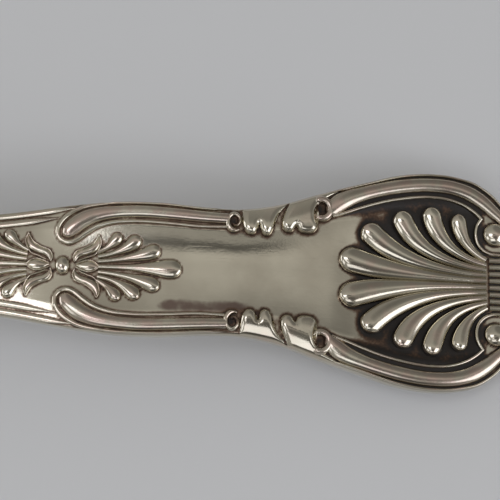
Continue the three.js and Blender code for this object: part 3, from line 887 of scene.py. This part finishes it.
# %% Leaf outlines
LEAF_ONE = [
    (26.0, 9.0, 26.0), (25.95, 7.5, 26.5), (26.15, 6.4, 27.0), (26.75, 5.65, 27.6), (27.6, 5.55, 28.3),
    (28.1, 5.95, 28.9), (28.3, 6.6, 29.2), (28.43, 7.2, 29.35), (28.56, 6.6, 29.5), (28.8, 5.9, 29.9),
    (29.4, 5.45, 30.6), (30.05, 5.6, 31.2), (30.45, 6.25, 31.6), (30.8, 7.6, 31.9), (31.3, 8.9, 32.15),
    (32.1, 10.0, 32.4), (32.5, 10.5, 32.55),
]
LEAF_TWO = [
    (32.95, 10.7, 32.95), (32.35, 9.6, 33.1), (31.85, 8.5, 33.25), (31.65, 7.5, 33.4), (31.9, 6.6, 33.6),
    (32.5, 6.15, 34.0), (33.2, 6.2, 34.5), (33.65, 6.6, 34.85), (33.9, 7.15, 35.05), (34.1, 6.65, 35.2),
    (34.6, 6.25, 35.5), (35.6, 6.1, 36.0), (36.6, 6.35, 36.5), (37.1, 7.0, 36.9), (36.95, 7.8, 37.3),
    (36.7, 8.7, 37.7), (36.7, 9.6, 38.2), (37.0, 10.5, 38.8), (37.75, 11.35, 39.4), (38.8, 12.15, 40.0),
    (39.9, 12.85, 40.5), (40.7, 13.3, 40.85),
]
print("leaf outlines:", len(LEAF_ONE), "and", len(LEAF_TWO), "pairs of points")

# %% [markdown]
# On the worn spoon the metal rolls softly over the edge, most of all where the leaves cross it. The edge is
# therefore a quarter round whose radius grows beside the leaves, and both the leaves and the handle's body
# ask for it here.

# %% The rounded edge
EDGE_ROUND = 0.4
LEAF_EDGE_ROUND = 0.65
LEAFY_RISE = (22.5, 25.5)
LEAFY_FALL = (38, 41)


def edge_round(s):
    """The radius of the handle's edge, larger where the leaves roll over it."""
    return EDGE_ROUND + (LEAF_EDGE_ROUND - EDGE_ROUND) * between(LEAFY_RISE, LEAFY_FALL, s)


def edge_drop(s, t):
    """How far the rounded edge has fallen below the face at a plan point."""
    radius = edge_round(s)
    over = min(max((abs(t) - half_width(s)) / radius + 1, 0.0), 1.0)
    return -radius * (1 - math.sqrt(1 - over * over))


print("edge radius on the stem and beside the leaves:", edge_round(0), edge_round(32), "mm")

# %% [markdown]
# A section ring of a leaf runs from its lobed side to the edge. Each point rises with its distance from the
# outline, so the leaf swells like a cushion round its clefts and rolls over the edge as a thin skin.
# Insetting a filled outline looks simpler, but it tears at the sharp clefts.

# %% Leaf rings
LEAF_HEIGHT = 1.0
LEAF_ROUND = 0.9
LEAF_SKIN = 0.05
LEAF_ROLL = 2.8
LEAF_ROLL_POWER = 1.5
LEAF_STEP = 0.14
LEAF_POINTS = 26
LEAF_CROWN = 0.85
LEAF_EDGE_CROWN_POWER = 3
LEAF_INSET = 0.4
LEAF_SINK = SINK + 0.3


def leaf_rings(pairs):
    """Rings across a leaf from its lobed side to the edge, swelling with the distance from the outline."""
    stations = [
        (Vector((s, t)), Vector((edge_s, half_width(edge_s))))
        for s, t, edge_s in smooth_line(pairs, LEAF_STEP)
    ]
    outline = [inner for inner, _ in stations]
    nearest = KDTree(len(outline))
    for i, spot in enumerate(outline):
        nearest.insert(spot.to_3d(), i)
    nearest.balance()
    rings = []
    for inner, outer in stations:
        ring = []
        for k in range(LEAF_POINTS):
            share = math.sin(math.pi / 2 * k / (LEAF_POINTS - 1))
            spot = inner.lerp(outer, share)
            short = 1 - min(1.0, nearest.find(spot.to_3d())[2] / LEAF_ROUND)
            swell = math.sqrt(1 - short * short)
            out = 1 - min(max((half_width(spot.x) - spot.y) / LEAF_ROLL, 0.0), 1.0)
            thickness = LEAF_SKIN + LEAF_HEIGHT * swell * (1 - out ** LEAF_ROLL_POWER)
            place = Vector((*spot, edge_drop(*spot) + thickness))
            ring.append((place, max(LEAF_CROWN * swell, out ** LEAF_EDGE_CROWN_POWER)))
        ring.append((Vector((outer.x, outer.y - LEAF_INSET, -LEAF_SINK)), 1.0))
        ring.append((Vector((inner.x, inner.y, -LEAF_SINK)), 0.0))
        rings.append(ring)
    return rings


SPRAY_LEAVES = [leaf_rings(pairs) for pairs in (LEAF_ONE, LEAF_TWO)]
print("leaf rings:", [len(rings) for rings in SPRAY_LEAVES])

# %% [markdown]
# The small curl beside the leaves is a hook that winds in towards its eye and gets thinner on the way. It
# is swept like any other moulding and struck together with the two leaves as one spray.

# %% Curls and sprays
CURL_REACH = (1.2, 1.5)
CURL_HALF_WIDTH = 0.48
CURL_WIND = 0.68
CURL_WIND_POWER = 1.2
CURL_THINNING = 0.45
CURL_END = 0.45
CURL_TAPER = 0.15
CURL_START = math.radians(-60)
CURL_SWEEP = math.radians(430)
CURL_STEPS = 60
CURL_HEIGHT = 0.66


def curl_line():
    """A hook that winds in towards its eye."""
    stations = []
    for i in range(CURL_STEPS + 1):
        u = i / CURL_STEPS
        angle = CURL_START - CURL_SWEEP * u
        wound = 1 - CURL_WIND * u ** CURL_WIND_POWER
        ending = CURL_END + (1 - CURL_END) * smoothstep(0, CURL_TAPER, u)
        s = CURL_CENTRE[0] + CURL_REACH[0] * wound * math.cos(angle)
        t = CURL_CENTRE[1] + CURL_REACH[1] * wound * math.sin(angle)
        stations.append((s, t, CURL_HALF_WIDTH * (1 - CURL_THINNING * u) * ending))
    return stations


def strike_spray(face_name, face, side_name, side):
    bm = bmesh.new()
    for rings in SPRAY_LEAVES:
        sweep(bm, rings)
    sweep(bm, moulding_rings(curl_line(), CURL_HEIGHT))
    name = f"{face_name}_leaf_spray_{side_name}"
    return strike(bm, "struck_" + name, face, [name], side)


on_all_sides(strike_spray)
print("a curl is swept through", len(curl_line()), "rings")

# %% [markdown]
# ## Rim threads and stem reeds
# A fine thread follows the very edge beside the bands and scrolls. Along the stem it becomes two reeds of
# the same width, one on the edge and one just inside it. They are offsets of the outline, so nothing has to
# be drawn again.

# %% Rim threads and reeds
RIM_INSET = 0.3
RIM_HALF_WIDTH = 0.22
RIM_HEIGHT = 0.44
EDGE_REED_INSET = 0.58
INNER_REED_INSET = 1.8
REED_HALF_WIDTH = 0.48
REED_HEIGHT = 0.25
SLOPE_STEP = 0.05
TAPER_RINGS = 6
TAPER_END = 0.1


def edge_line(start, end, inset, step):
    """Plan points that follow the handle's edge at a distance inside it."""
    count = round((end - start) / step)
    points = []
    for i in range(count + 1):
        s = start + (end - start) * i / count
        slope = (half_width(s + SLOPE_STEP) - half_width(s - SLOPE_STEP)) / (2 * SLOPE_STEP)
        length = math.hypot(1, slope)
        points.append((s + inset * slope / length, half_width(s) - inset / length))
    return points


def thread(points, width):
    """Stations of a thread that thins out at both ends."""
    last = len(points) - 1
    stations = []
    for i, (s, t) in enumerate(points):
        ending = smoothstep(0, TAPER_RINGS, min(i, last - i))
        stations.append((s, t, width * (TAPER_END + (1 - TAPER_END) * ending)))
    return stations


THREADS = {
    "band_rim": (4.8, 24.2, RIM_INSET, RIM_HALF_WIDTH, RIM_HEIGHT, 0.4),
    "scroll_rim": (39.0, 66.4, RIM_INSET, RIM_HALF_WIDTH, RIM_HEIGHT, 0.3),
    "edge_reed": (HEEL_S, 2.2, EDGE_REED_INSET, REED_HALF_WIDTH, REED_HEIGHT, 0.8),
    "inner_reed": (HEEL_S, -0.9, INNER_REED_INSET, REED_HALF_WIDTH, REED_HEIGHT, 0.8),
}


def strike_threads(face_name, face, side_name, side):
    for thread_name, (start, end, inset, width, height, step) in THREADS.items():
        stations = thread(edge_line(start, end, inset, step), width)
        strike_moulding(f"struck_{face_name}_{thread_name}_{side_name}", face, stations, height, (), side)


on_all_sides(strike_threads)
print("struck pieces:", {name: len(struck_faces[face]) for name, face in FACES.items()})

# %% [markdown]
# ## Bowl and heel drop
# The bowl is egg-shaped, deepest a little towards the heel, and on the real spoon it is raised in a press
# from the same blank. One sweep of rings makes it: from a small ring at the middle of the underside out to
# the rim, over the rim's rounded edge and back down the inside. Its outer sizes come from the solid's box,
# so both always agree.

# %% Bowl
BOWL_LENGTH = 100.0
BOWL_EGG = 0.1
BOWL_CURVE = 2.3
RESTING_FLAT = 0.15
RESTING_RINGS = (0.02, 0.08, RESTING_FLAT)
RIM_LAND = 1.3
RIM_STEPS = 6
WALL_AT_BOTTOM = 1.9
WALL_POWER = 4
WALL_RINGS = 26
BOWL_SEGMENTS = 120
BOWL_SHARP_ANGLE = 70
PLAIN_CROWN = 0.5
BOWL_LOW, BOWL_HIGH = (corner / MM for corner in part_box("bowl"))
BOWL_HALF_WIDTH = BOWL_HIGH.y / (1 + BOWL_EGG * BOWL_EGG / 2)
BOWL_RIM_Z = BOWL_HIGH.z
BOWL_BASE_Z = BOWL_LOW.z
BOWL_MIDDLE_X = BOWL_LOW.x + BOWL_LENGTH / 2
DEEPEST_OFFSET = 4.0
DEEPEST_X = BOWL_MIDDLE_X + DEEPEST_OFFSET


def bowl_rim(turn, inset):
    x = BOWL_MIDDLE_X + (BOWL_LENGTH / 2 - inset) * math.cos(turn)
    return x, (BOWL_HALF_WIDTH - inset) * math.sin(turn) * (1 + BOWL_EGG * math.cos(turn))


def dish_height(reach):
    swell = (reach ** BOWL_CURVE - RESTING_FLAT ** BOWL_CURVE) / (1 - RESTING_FLAT ** BOWL_CURVE)
    return BOWL_BASE_Z + (BOWL_RIM_Z - BOWL_BASE_Z) * max(0.0, swell)


def bowl_ring(reach, inset, z):
    ring = []
    for i in range(BOWL_SEGMENTS):
        x, y = bowl_rim(2 * math.pi * i / BOWL_SEGMENTS, inset)
        ring.append((Vector((DEEPEST_X + (x - DEEPEST_X) * reach, y * reach, z)) * MM, PLAIN_CROWN))
    return ring


def make_bowl():
    wall = [RESTING_FLAT + (1 - RESTING_FLAT) * i / WALL_RINGS for i in range(1, WALL_RINGS)]
    reaches = [*RESTING_RINGS, *wall]
    outside = [bowl_ring(reach, 0, dish_height(reach)) for reach in reaches]
    rim = []
    for i in range(RIM_STEPS + 1):
        turn = math.pi * i / RIM_STEPS
        inset = RIM_LAND / 2 * (1 - math.cos(turn))
        rim.append(bowl_ring(1, inset, BOWL_RIM_Z - RIM_LAND / 2 * (1 - math.sin(turn))))
    inside = []
    for reach in reversed(reaches):
        thickness = WALL_AT_BOTTOM * (1 - reach ** WALL_POWER)
        inside.append(bowl_ring(reach, RIM_LAND, dish_height(reach) + thickness))
    bm = sweep(bmesh.new(), outside + rim + inside)
    return finish_piece(bm, "raised_bowl", ["bowl"], BOWL_SHARP_ANGLE)


raised_bowl = make_bowl()
print("bowl:", len(raised_bowl.data.vertices), "vertices")

# %% [markdown]
# The drop is a tongue of metal under the heel, left from the time when bowls were soldered to their stems;
# here it is struck with the rest. It is a moulding that hangs from the bowl's underside, so each of its
# points first asks how high the underside is there.

# %% Heel drop
DROP_LENGTH = 24.0
DROP_START_X = BOWL_MIDDLE_X + BOWL_LENGTH / 2 - 2.0
DROP_HALF_WIDTH = 5.2
DROP_THICKNESS = 1.0
DROP_THINNING = 0.5
DROP_POWER = 3.2
DROP_END = 0.002
DROP_SINK = 0.4
DROP_STEPS = 40
AIM_TURNS = 16
AIM_SHARE = 0.8


def underside_height(x, y):
    """The bowl's underside at a plan point, by stepping towards the rim point in the same direction."""
    aim = math.atan2(y, x - DEEPEST_X)
    turn = aim
    for _ in range(AIM_TURNS):
        rim_x, rim_y = bowl_rim(turn, 0)
        turn += AIM_SHARE * (aim - math.atan2(rim_y, rim_x - DEEPEST_X))
    rim_x, rim_y = bowl_rim(turn, 0)
    return dish_height(math.hypot(x - DEEPEST_X, y) / math.hypot(rim_x - DEEPEST_X, rim_y))


def make_heel_drop():
    rings = []
    for i in range(DROP_STEPS + 1):
        u = i / DROP_STEPS
        x = DROP_START_X - DROP_LENGTH * u
        width = DROP_HALF_WIDTH * math.sqrt(max(DROP_END, 1 - u ** DROP_POWER))
        thickness = DROP_THICKNESS * (1 - DROP_THINNING * u)
        ring = []
        for k in range(CROWN_POINTS):
            angle = math.pi * k / (CROWN_POINTS - 1)
            y = width * math.cos(angle)
            z = underside_height(x, y) - thickness * math.sin(angle)
            ring.append((Vector((x, y, z)) * MM, math.sin(angle)))
        for y in (-width, width):
            ring.append((Vector((x, y, underside_height(x, y) + DROP_SINK)) * MM, 0.0))
        rings.append(ring)
    return finish_piece(sweep(bmesh.new(), rings), "heel_tongue", ["heel_drop"])


heel_tongue = make_heel_drop()
print("heel drop:", len(heel_tongue.data.vertices), "vertices")

# %% [markdown]
# ## Handle body
# The blank under the ornament is one bar from the heel to the tip. Its section ring has many points across
# the two faces, because the tarnish and painted shade round each ornament will be stored on these vertices.
# Round the shell the ground lies a little deeper, as if the die had pushed it back.

# %% Section of the handle
GROUND_POINTS = 110
EDGE_STEPS = 7
EDGE_LIMIT = 0.4
SHELL_DEPTH = 0.3
SHELL_FIELD_RISE = (39, 43)
SHELL_FIELD_FALL = (60.5, 62.5)
SHELL_FIELD_SIDE = (0.68, 0.76)


def ground(s, across):
    """The height of the ground beside the ornaments: the dish, and a deeper field round the shell."""
    field = between(SHELL_FIELD_RISE, SHELL_FIELD_FALL, s)
    inside_bead = 1 - smoothstep(*SHELL_FIELD_SIDE, abs(across))
    return dish(s, across) - SHELL_DEPTH * field * inside_bead


def body_ring(s):
    width, depth = half_width(s), half_thickness(s)
    round_off = min(edge_round(s), width * EDGE_LIMIT)
    flat = width - round_off
    edge_depth = depth + dish(s, 1.0)
    edge = []
    for k in range(1, EDGE_STEPS + 1):
        angle = math.pi / 2 * k / EDGE_STEPS
        edge.append((flat + round_off * math.sin(angle), edge_depth - round_off * (1 - math.cos(angle))))
    face = []
    for k in range(GROUND_POINTS):
        across = 1 - 2 * k / (GROUND_POINTS - 1)
        face.append((flat * across, depth + ground(s, across)))
    half = edge[::-1] + face + [(-t, h) for t, h in edge]
    return half + [(-t, -h) for t, h in half]


print("handle section:", len(body_ring(0)), "points")

# %% [markdown]
# The bar is swept from ring to ring, coarsely along the plain stem and finely under the ornament. At the
# heel its lines run on until they end just inside the bowl's curved wall, so the joint closes without a
# gap; a boolean would close it too, but it would break up the even quads.

# %% Handle body
HEEL_STEPS = 6
HEEL_SINK = 0.35
WALL_TURNS = 8
STEP_CHANGES = [(-21.0, 2.0), (66.0, 0.4), (TIP_S, 0.2)]
LAST_GAP = 0.01


def bowl_wall_x(y, z):
    """Where a lengthwise line at y and z ends just inside the bowl's wall."""
    flat = RESTING_FLAT ** BOWL_CURVE
    swell = (z - BOWL_BASE_Z) / (BOWL_RIM_Z - BOWL_BASE_Z)
    reach = min((swell * (1 - flat) + flat) ** (1 / BOWL_CURVE), 1.0)
    turn = 0.0
    for _ in range(WALL_TURNS):
        turn = math.asin(y / (reach * BOWL_HALF_WIDTH * (1 + BOWL_EGG * math.cos(turn))))
    return DEEPEST_X + (bowl_rim(turn, 0)[0] - DEEPEST_X) * reach - HEEL_SINK


def body_stations():
    """Places along the handle, with a step that gets finer towards the tip."""
    stations = [HEEL_S]
    while True:
        s = stations[-1]
        s += next(step for until, step in STEP_CHANGES if s < until)
        if s >= TIP_S - LAST_GAP:
            return stations + [TIP_S]
        stations.append(s)


def make_handle_body():
    rings = [[arch(s, t, h) for t, h in body_ring(s)] for s in body_stations()]
    start = rings[0]
    on_wall = [Vector((bowl_wall_x(p.y / MM, p.z / MM) * MM, p.y, p.z)) for p in start]
    shares = [i / HEEL_STEPS for i in range(HEEL_STEPS)]
    joint = [[wall.lerp(end, share) for wall, end in zip(on_wall, start)] for share in shares]
    bm = sweep(bmesh.new(), [[(spot, PLAIN_CROWN) for spot in ring] for ring in joint + rings])
    return finish_piece(bm, "handle_body", ["stem", "handle_plate"])


handle_body = make_handle_body()
print("handle body:", len(handle_body.data.vertices), "vertices")

# %% [markdown]
# Tarnish collects where polishing can't reach: the closer a point of the ground lies to a struck piece, the
# darker it is. A tree of all the struck faces answers that distance quickly. The spread is a thin line of
# tarnish on the open panel and a broad painted shade with tarnish in the deep shell, and the rounded edges
# stay bright because hands and drawers rub them.

# %% Tarnish and painted shade on the ground
PATINA_REACH = 0.3
PATINA_POWER = 1.5
LEAF_REACH = 0.5
LEAF_REACH_RISE = (22, 26)
# The deep shell's wide dark ground is painted shade as well as tarnish.
SHELL_REACH = 2.8
SHELL_REACH_RISE = (41, 47.5)
SHELL_REACH_FALL = (61, 63)
FLAT_ENOUGH = (0.45, 0.85)
STAIN_RISE = (12.5, 16.5)
STAIN_FALL = (26.0, 29.0)
STAIN_T = -5.5
STAIN_HALF_WIDTH = 1.6
STAIN_END = 0.35
STAIN_FADE = (0.2, 1.0)
DARK = 0.5


def nearest_struck(face):
    verts, polygons = [], []
    for piece in struck_faces[face]:
        start = len(verts)
        verts.extend(vert.co.copy() for vert in piece.data.vertices)
        polygons.extend([start + index for index in polygon.vertices] for polygon in piece.data.polygons)
    return BVHTree.FromPolygons(verts, polygons)


def stain_at(s, t):
    """A smear of brown left along the near side of the front panel."""
    along = between(STAIN_RISE, STAIN_FALL, s)
    reach = STAIN_HALF_WIDTH * (STAIN_END + (1 - STAIN_END) * along)
    return along * (1 - smoothstep(*STAIN_FADE, abs(t - STAIN_T) / reach))


def corner_reach(s):
    """How far from an ornament the tarnish spreads; in the deep shell it spreads wide as painted shade."""
    leafy = between(LEAF_REACH_RISE, LEAFY_FALL, s)
    shell = between(SHELL_REACH_RISE, SHELL_REACH_FALL, s)
    return PATINA_REACH + (LEAF_REACH - PATINA_REACH) * leafy + (SHELL_REACH - PATINA_REACH) * shell


def tarnish_and_shade_ground(piece):
    trees = [nearest_struck(face) for face in FACES.values()]
    tarnish_and_shade = piece.data.attributes.new("tarnish_and_shade", "FLOAT", "POINT")
    stain = piece.data.attributes.new("stain", "FLOAT", "POINT")
    for index, vert in enumerate(piece.data.vertices):
        s, t = vert.co.x / MM - BOSS_PLACE.x, vert.co.y / MM
        near = min(tree.find_nearest(vert.co)[3] for tree in trees) / MM
        corner = shade_of(s) * math.exp(-(near / corner_reach(s)) ** PATINA_POWER)
        tarnish_and_shade.data[index].value = max(corner, eye_at(s, t)) * smoothstep(*FLAT_ENOUGH, abs(vert.normal.z))
        stain.data[index].value = stain_at(s, t) if vert.normal.z > 0 else 0.0
    return sum(number.value > DARK for number in tarnish_and_shade.data)


print("ground points under tarnish:", tarnish_and_shade_ground(handle_body))

# %% [markdown]
# ## Floor and light
# The spoon lies on a plain pale floor, large enough that its edge never shows. It is matt, so that it gives
# the metal a quiet tone to reflect and no second highlight.

# %% Floor
FLOOR_SIZE = 6.0
FLOOR_GREY = (0.66, 0.66, 0.65, 1)
FLOOR_ROUGHNESS = 0.9


def make_floor():
    bm = bmesh.new()
    bmesh.ops.create_grid(bm, x_segments=2, y_segments=2, size=FLOOR_SIZE / 2)
    mesh = bpy.data.meshes.new("floor")
    bm.to_mesh(mesh)
    bm.free()
    floor = show("floor", mesh)
    material = bpy.data.materials.new("pale_floor")
    material.use_nodes = True
    shader = material.node_tree.nodes["Principled BSDF"]
    shader.inputs["Base Color"].default_value = FLOOR_GREY
    shader.inputs["Roughness"].default_value = FLOOR_ROUGHNESS
    mesh.materials.append(material)
    return floor


floor = make_floor()
print(floor.name + ":", FLOOR_SIZE, "m wide")

# %% [markdown]
# Metal shows mostly what it reflects, so six soft boxes stand where their reflections are wanted: one to
# the right and one to the left for the double highlights on every lobe, one high and one near for the panel
# and the near leaves, one at the side, and a strip overhead that draws the fine bright lines. Each is a
# rectangle of light as a photographer would set up, given by the direction it stands in and the angle it
# fills.

# %% Soft boxes
AIM = arch(CAMERA_AIM_S, 0, 0)
LAMP_DISTANCE = 1.6
SOFT_BOXES = {
    "right_box": (67, 26, 34, 38, 2.3),
    "left_box": (-95, 14, 34, 28, 2.0),
    "high_box": (-30, 75, 26, 9, 1.5),
    "near_box": (5, 53, 30, 19, 1.35),
    "side_box": (-56, 44, 20, 22, 1.4),
    "top_strip": (-93, 80, 11, 26, 3.2),
}
DAYLIGHT = (0.88, 0.905, 1.0)


def make_soft_box(name, azimuth, elevation, wide, high, radiance):
    """A rectangle of light; wide and high are the angles it fills."""
    out = towards(azimuth, elevation)
    data = bpy.data.lights.new(name, "AREA")
    data.shape = "RECTANGLE"
    data.color = DAYLIGHT
    data.size = 2 * LAMP_DISTANCE * math.tan(math.radians(wide) / 2)
    data.size_y = 2 * LAMP_DISTANCE * math.tan(math.radians(high) / 2)
    data.energy = radiance * math.pi * data.size * data.size_y
    turn = out.to_track_quat("Z", "Y").to_matrix().to_4x4()
    show(name, data).matrix_world = Matrix.Translation(AIM + out * LAMP_DISTANCE) @ turn


for name, settings in SOFT_BOXES.items():
    make_soft_box(name, *settings)
print("soft boxes:", ", ".join(SOFT_BOXES))

# %% [markdown]
# The rest of the room is a dim sky. It leans from one side to the other like a room with its windows on one
# side, a dark bar and three soft shades stand for the dark things in it, and the metal needs them: without
# something dark to reflect, polished silver looks like grey paint. All of it is worked out from the
# direction alone, with no image.

# %% Sky
SKY_LEAN = [
    (-90, 0.34), (-40, 0.36), (-2, 0.36), (8, 0.62), (12, 0.53), (18, 0.5), (24, 0.44), (34, 0.4), (50, 0.38),
    (70, 0.34), (90, 0.3),
]
SKY_WARMTH = (1.0, 0.985, 0.95)
SKY_BAR = (0.3, 2.3, 4.2, 6.5)
SKY_BAR_END = (0.29, 0.4)
SKY_BAR_LEVEL = 0.07
SKY_SHADES = [(8, 26, 12, 24, 0.28), (48, 62, 9, 17, 0.4), (138, 30, 18, 38, 0.55)]


def lean_share(degrees):
    """A lean from -90 to 90 degrees as a share from 0 to 1."""
    return degrees / 180 + 0.5


def sky_colour(tree, share):
    ramp = node_of(tree, "ShaderNodeValToRGB")
    stops = ramp.color_ramp.elements
    while len(stops) < len(SKY_LEAN):
        stops.new(0.5)
    for stop, (degrees, level) in zip(stops, SKY_LEAN):
        stop.position = lean_share(degrees)
        stop.color = [level * tint for tint in SKY_WARMTH] + [1]
    tree.links.new(share, ramp.inputs[0])
    return ramp.outputs[0]


def sky_strength(tree, direction, share, along):
    """Full strength, but for the dark bar and the round shades."""
    start, full, fade, end = (lean_share(degrees) for degrees in SKY_BAR)
    rise = ranged(tree, share, start, full)
    bar = calculate(tree, "MULTIPLY", rise, ranged(tree, share, fade, end, 1, 0))
    bar = calculate(tree, "MULTIPLY", bar, ranged(tree, along, *SKY_BAR_END, 1, 0))
    strength = ranged(tree, bar, 0, 1, 1, SKY_BAR_LEVEL)
    for azimuth, elevation, inner, outer, level in SKY_SHADES:
        aim = node_of(tree, "ShaderNodeVectorMath", {1: towards(azimuth, elevation)}, operation="DOT_PRODUCT")
        tree.links.new(direction, aim.inputs[0])
        edges = (math.cos(math.radians(outer)), math.cos(math.radians(inner)))
        shade = ranged(tree, aim.outputs["Value"], *edges, 1.0, level)
        strength = calculate(tree, "MULTIPLY", shade, strength)
    return strength


def make_sky():
    world = bpy.data.worlds.new("soft_sky")
    world.use_nodes = True
    tree = world.node_tree
    background = tree.nodes["Background"].inputs
    direction = node_of(tree, "ShaderNodeTexCoord").outputs["Generated"]
    axes = node_of(tree, "ShaderNodeSeparateXYZ")
    tree.links.new(direction, axes.inputs[0])
    lean = calculate(tree, "ARCTAN2", axes.outputs["Y"], axes.outputs["Z"])
    share = calculate(tree, "MULTIPLY_ADD", lean, 1 / math.pi, 0.5)
    tree.links.new(sky_colour(tree, share), background["Color"])
    tree.links.new(sky_strength(tree, direction, share, axes.outputs["X"]), background["Strength"])
    return world


bpy.context.scene.world = make_sky()
bpy.context.scene.view_settings.view_transform = "Standard"
print("sky:", len(bpy.context.scene.world.node_tree.nodes), "nodes")
